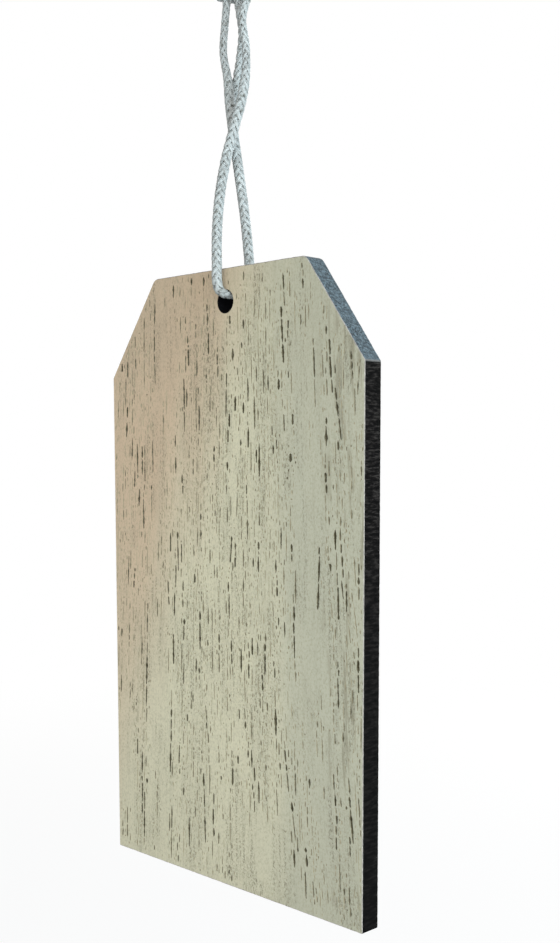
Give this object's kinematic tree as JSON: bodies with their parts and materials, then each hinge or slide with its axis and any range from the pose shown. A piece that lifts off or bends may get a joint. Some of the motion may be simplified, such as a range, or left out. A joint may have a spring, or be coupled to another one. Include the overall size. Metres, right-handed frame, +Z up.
{
  "type": "wooden tag",
  "caption": "Flat wooden hang tag with chamfered top corners, veneered faces and dark cut edges, hung by a small hole on a looped and knotted braided cord.",
  "frame": {"origin": "top of the cord's loop, just under the knot, on the board's middle plane: where a finger or a peg holds the tag", "axes": "+Z up along the board's height, +X to the right seen from the front, -Y out of the front face"},
  "size_m": [0.05, 0.0076, 0.1326],
  "materials": {
    "charred_core": "matt, near black from laser cutting",
    "wood_veneer": "satin, open pored grain",
    "silver_braid": "braided, soft metallic sheen"
  },
  "bodies": {
    "cord": {"hang_cord": "silver_braid", "cord_knot": "silver_braid", "cord_tail": "silver_braid"},
    "board": {"core_board": "charred_core", "front_veneer": "wood_veneer", "back_veneer": "wood_veneer"}
  },
  "joints": [
    {"name": "tag_swing", "type": "hinge", "parent": "cord", "child": "board", "pos_m": [0, 0, -0.038], "axis": [0, 1, 0], "range_deg": [-60, 60]}
  ]
}
